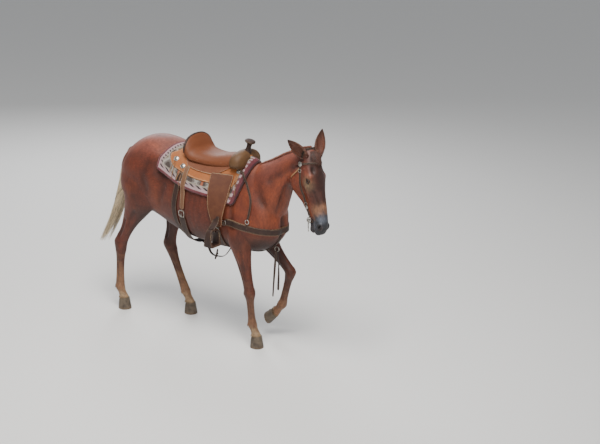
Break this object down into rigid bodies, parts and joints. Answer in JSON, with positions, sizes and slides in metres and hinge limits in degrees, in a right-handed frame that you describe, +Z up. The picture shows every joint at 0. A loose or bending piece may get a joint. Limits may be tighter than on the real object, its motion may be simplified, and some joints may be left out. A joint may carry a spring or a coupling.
{
  "type": "saddled riding mule",
  "caption": "Life-size standing model of a sorrel riding mule caught in mid walk, one forefoot raised, wearing a western stock saddle, woven pad, breast collar and bridle.",
  "frame": {"origin": "on the floor, under the middle of the model's length and width", "axes": "+X from the tail towards the head, +Y to the mule's left, +Z up; the soles of the three standing hooves lie in the plane z = 0"},
  "size_m": [2.279, 0.772, 1.8141],
  "materials": {
    "coat": "short sorrel coat with a soft sheen",
    "leg_coat": "short coat, lighter tan on the lower legs",
    "eye": "dark wet eye",
    "hoof_horn": "pale grey hoof horn",
    "long_hair": "long flaxen and brown tail hair",
    "woven_wool": "woven wool saddle blanket with a common stepped pattern",
    "tan_leather": "tan saddle leather, tooled edge",
    "olive_leather": "worn tan and olive leather",
    "dark_leather": "dark oiled strap leather",
    "steel": "plain worn steel"
  },
  "bodies": {
    "root": {"torso": "coat", "eye_right": "eye", "eye_left": "eye", "ear_right": "coat", "ear_left": "coat", "leg_front_right": "leg_coat", "hoof_front_right": "hoof_horn", "leg_front_left": "leg_coat", "hoof_front_left": "hoof_horn", "leg_hind_right": "leg_coat", "hoof_hind_right": "hoof_horn", "leg_hind_left": "leg_coat", "hoof_hind_left": "hoof_horn", "tail": "long_hair", "saddle_pad": "woven_wool", "saddle_skirts": "tan_leather", "saddle_fork": "olive_leather", "saddle_seat": "tan_leather", "saddle_horn": "dark_leather", "fender_right": "dark_leather", "stirrup_right": "dark_leather", "latigo_right": "dark_leather", "fender_left": "dark_leather", "stirrup_left": "dark_leather", "latigo_left": "dark_leather", "cinch_front": "dark_leather", "cinch_rear": "dark_leather", "billet_rear_right": "dark_leather", "buckle_rear_right": "steel", "flank_strap_right": "dark_leather", "billet_rear_left": "dark_leather", "buckle_rear_left": "steel", "flank_strap_left": "dark_leather", "belly_strap": "dark_leather", "breast_collar": "dark_leather", "collar_ring_right": "steel", "collar_tug_right": "dark_leather", "collar_ring_left": "steel", "collar_tug_left": "dark_leather", "breast_strap": "dark_leather", "chest_ring": "steel", "hanging_strap_a": "dark_leather", "hanging_strap_b": "dark_leather", "bridle_crown": "dark_leather", "bridle_crown_end": "dark_leather", "browband": "dark_leather", "throatlatch": "olive_leather", "cheek_strap_right": "dark_leather", "bit_right": "steel", "cheek_strap_left": "dark_leather", "bit_left": "steel", "curb_strap": "dark_leather", "head": "coat", "neck": "coat"}
  },
  "joints": []
}
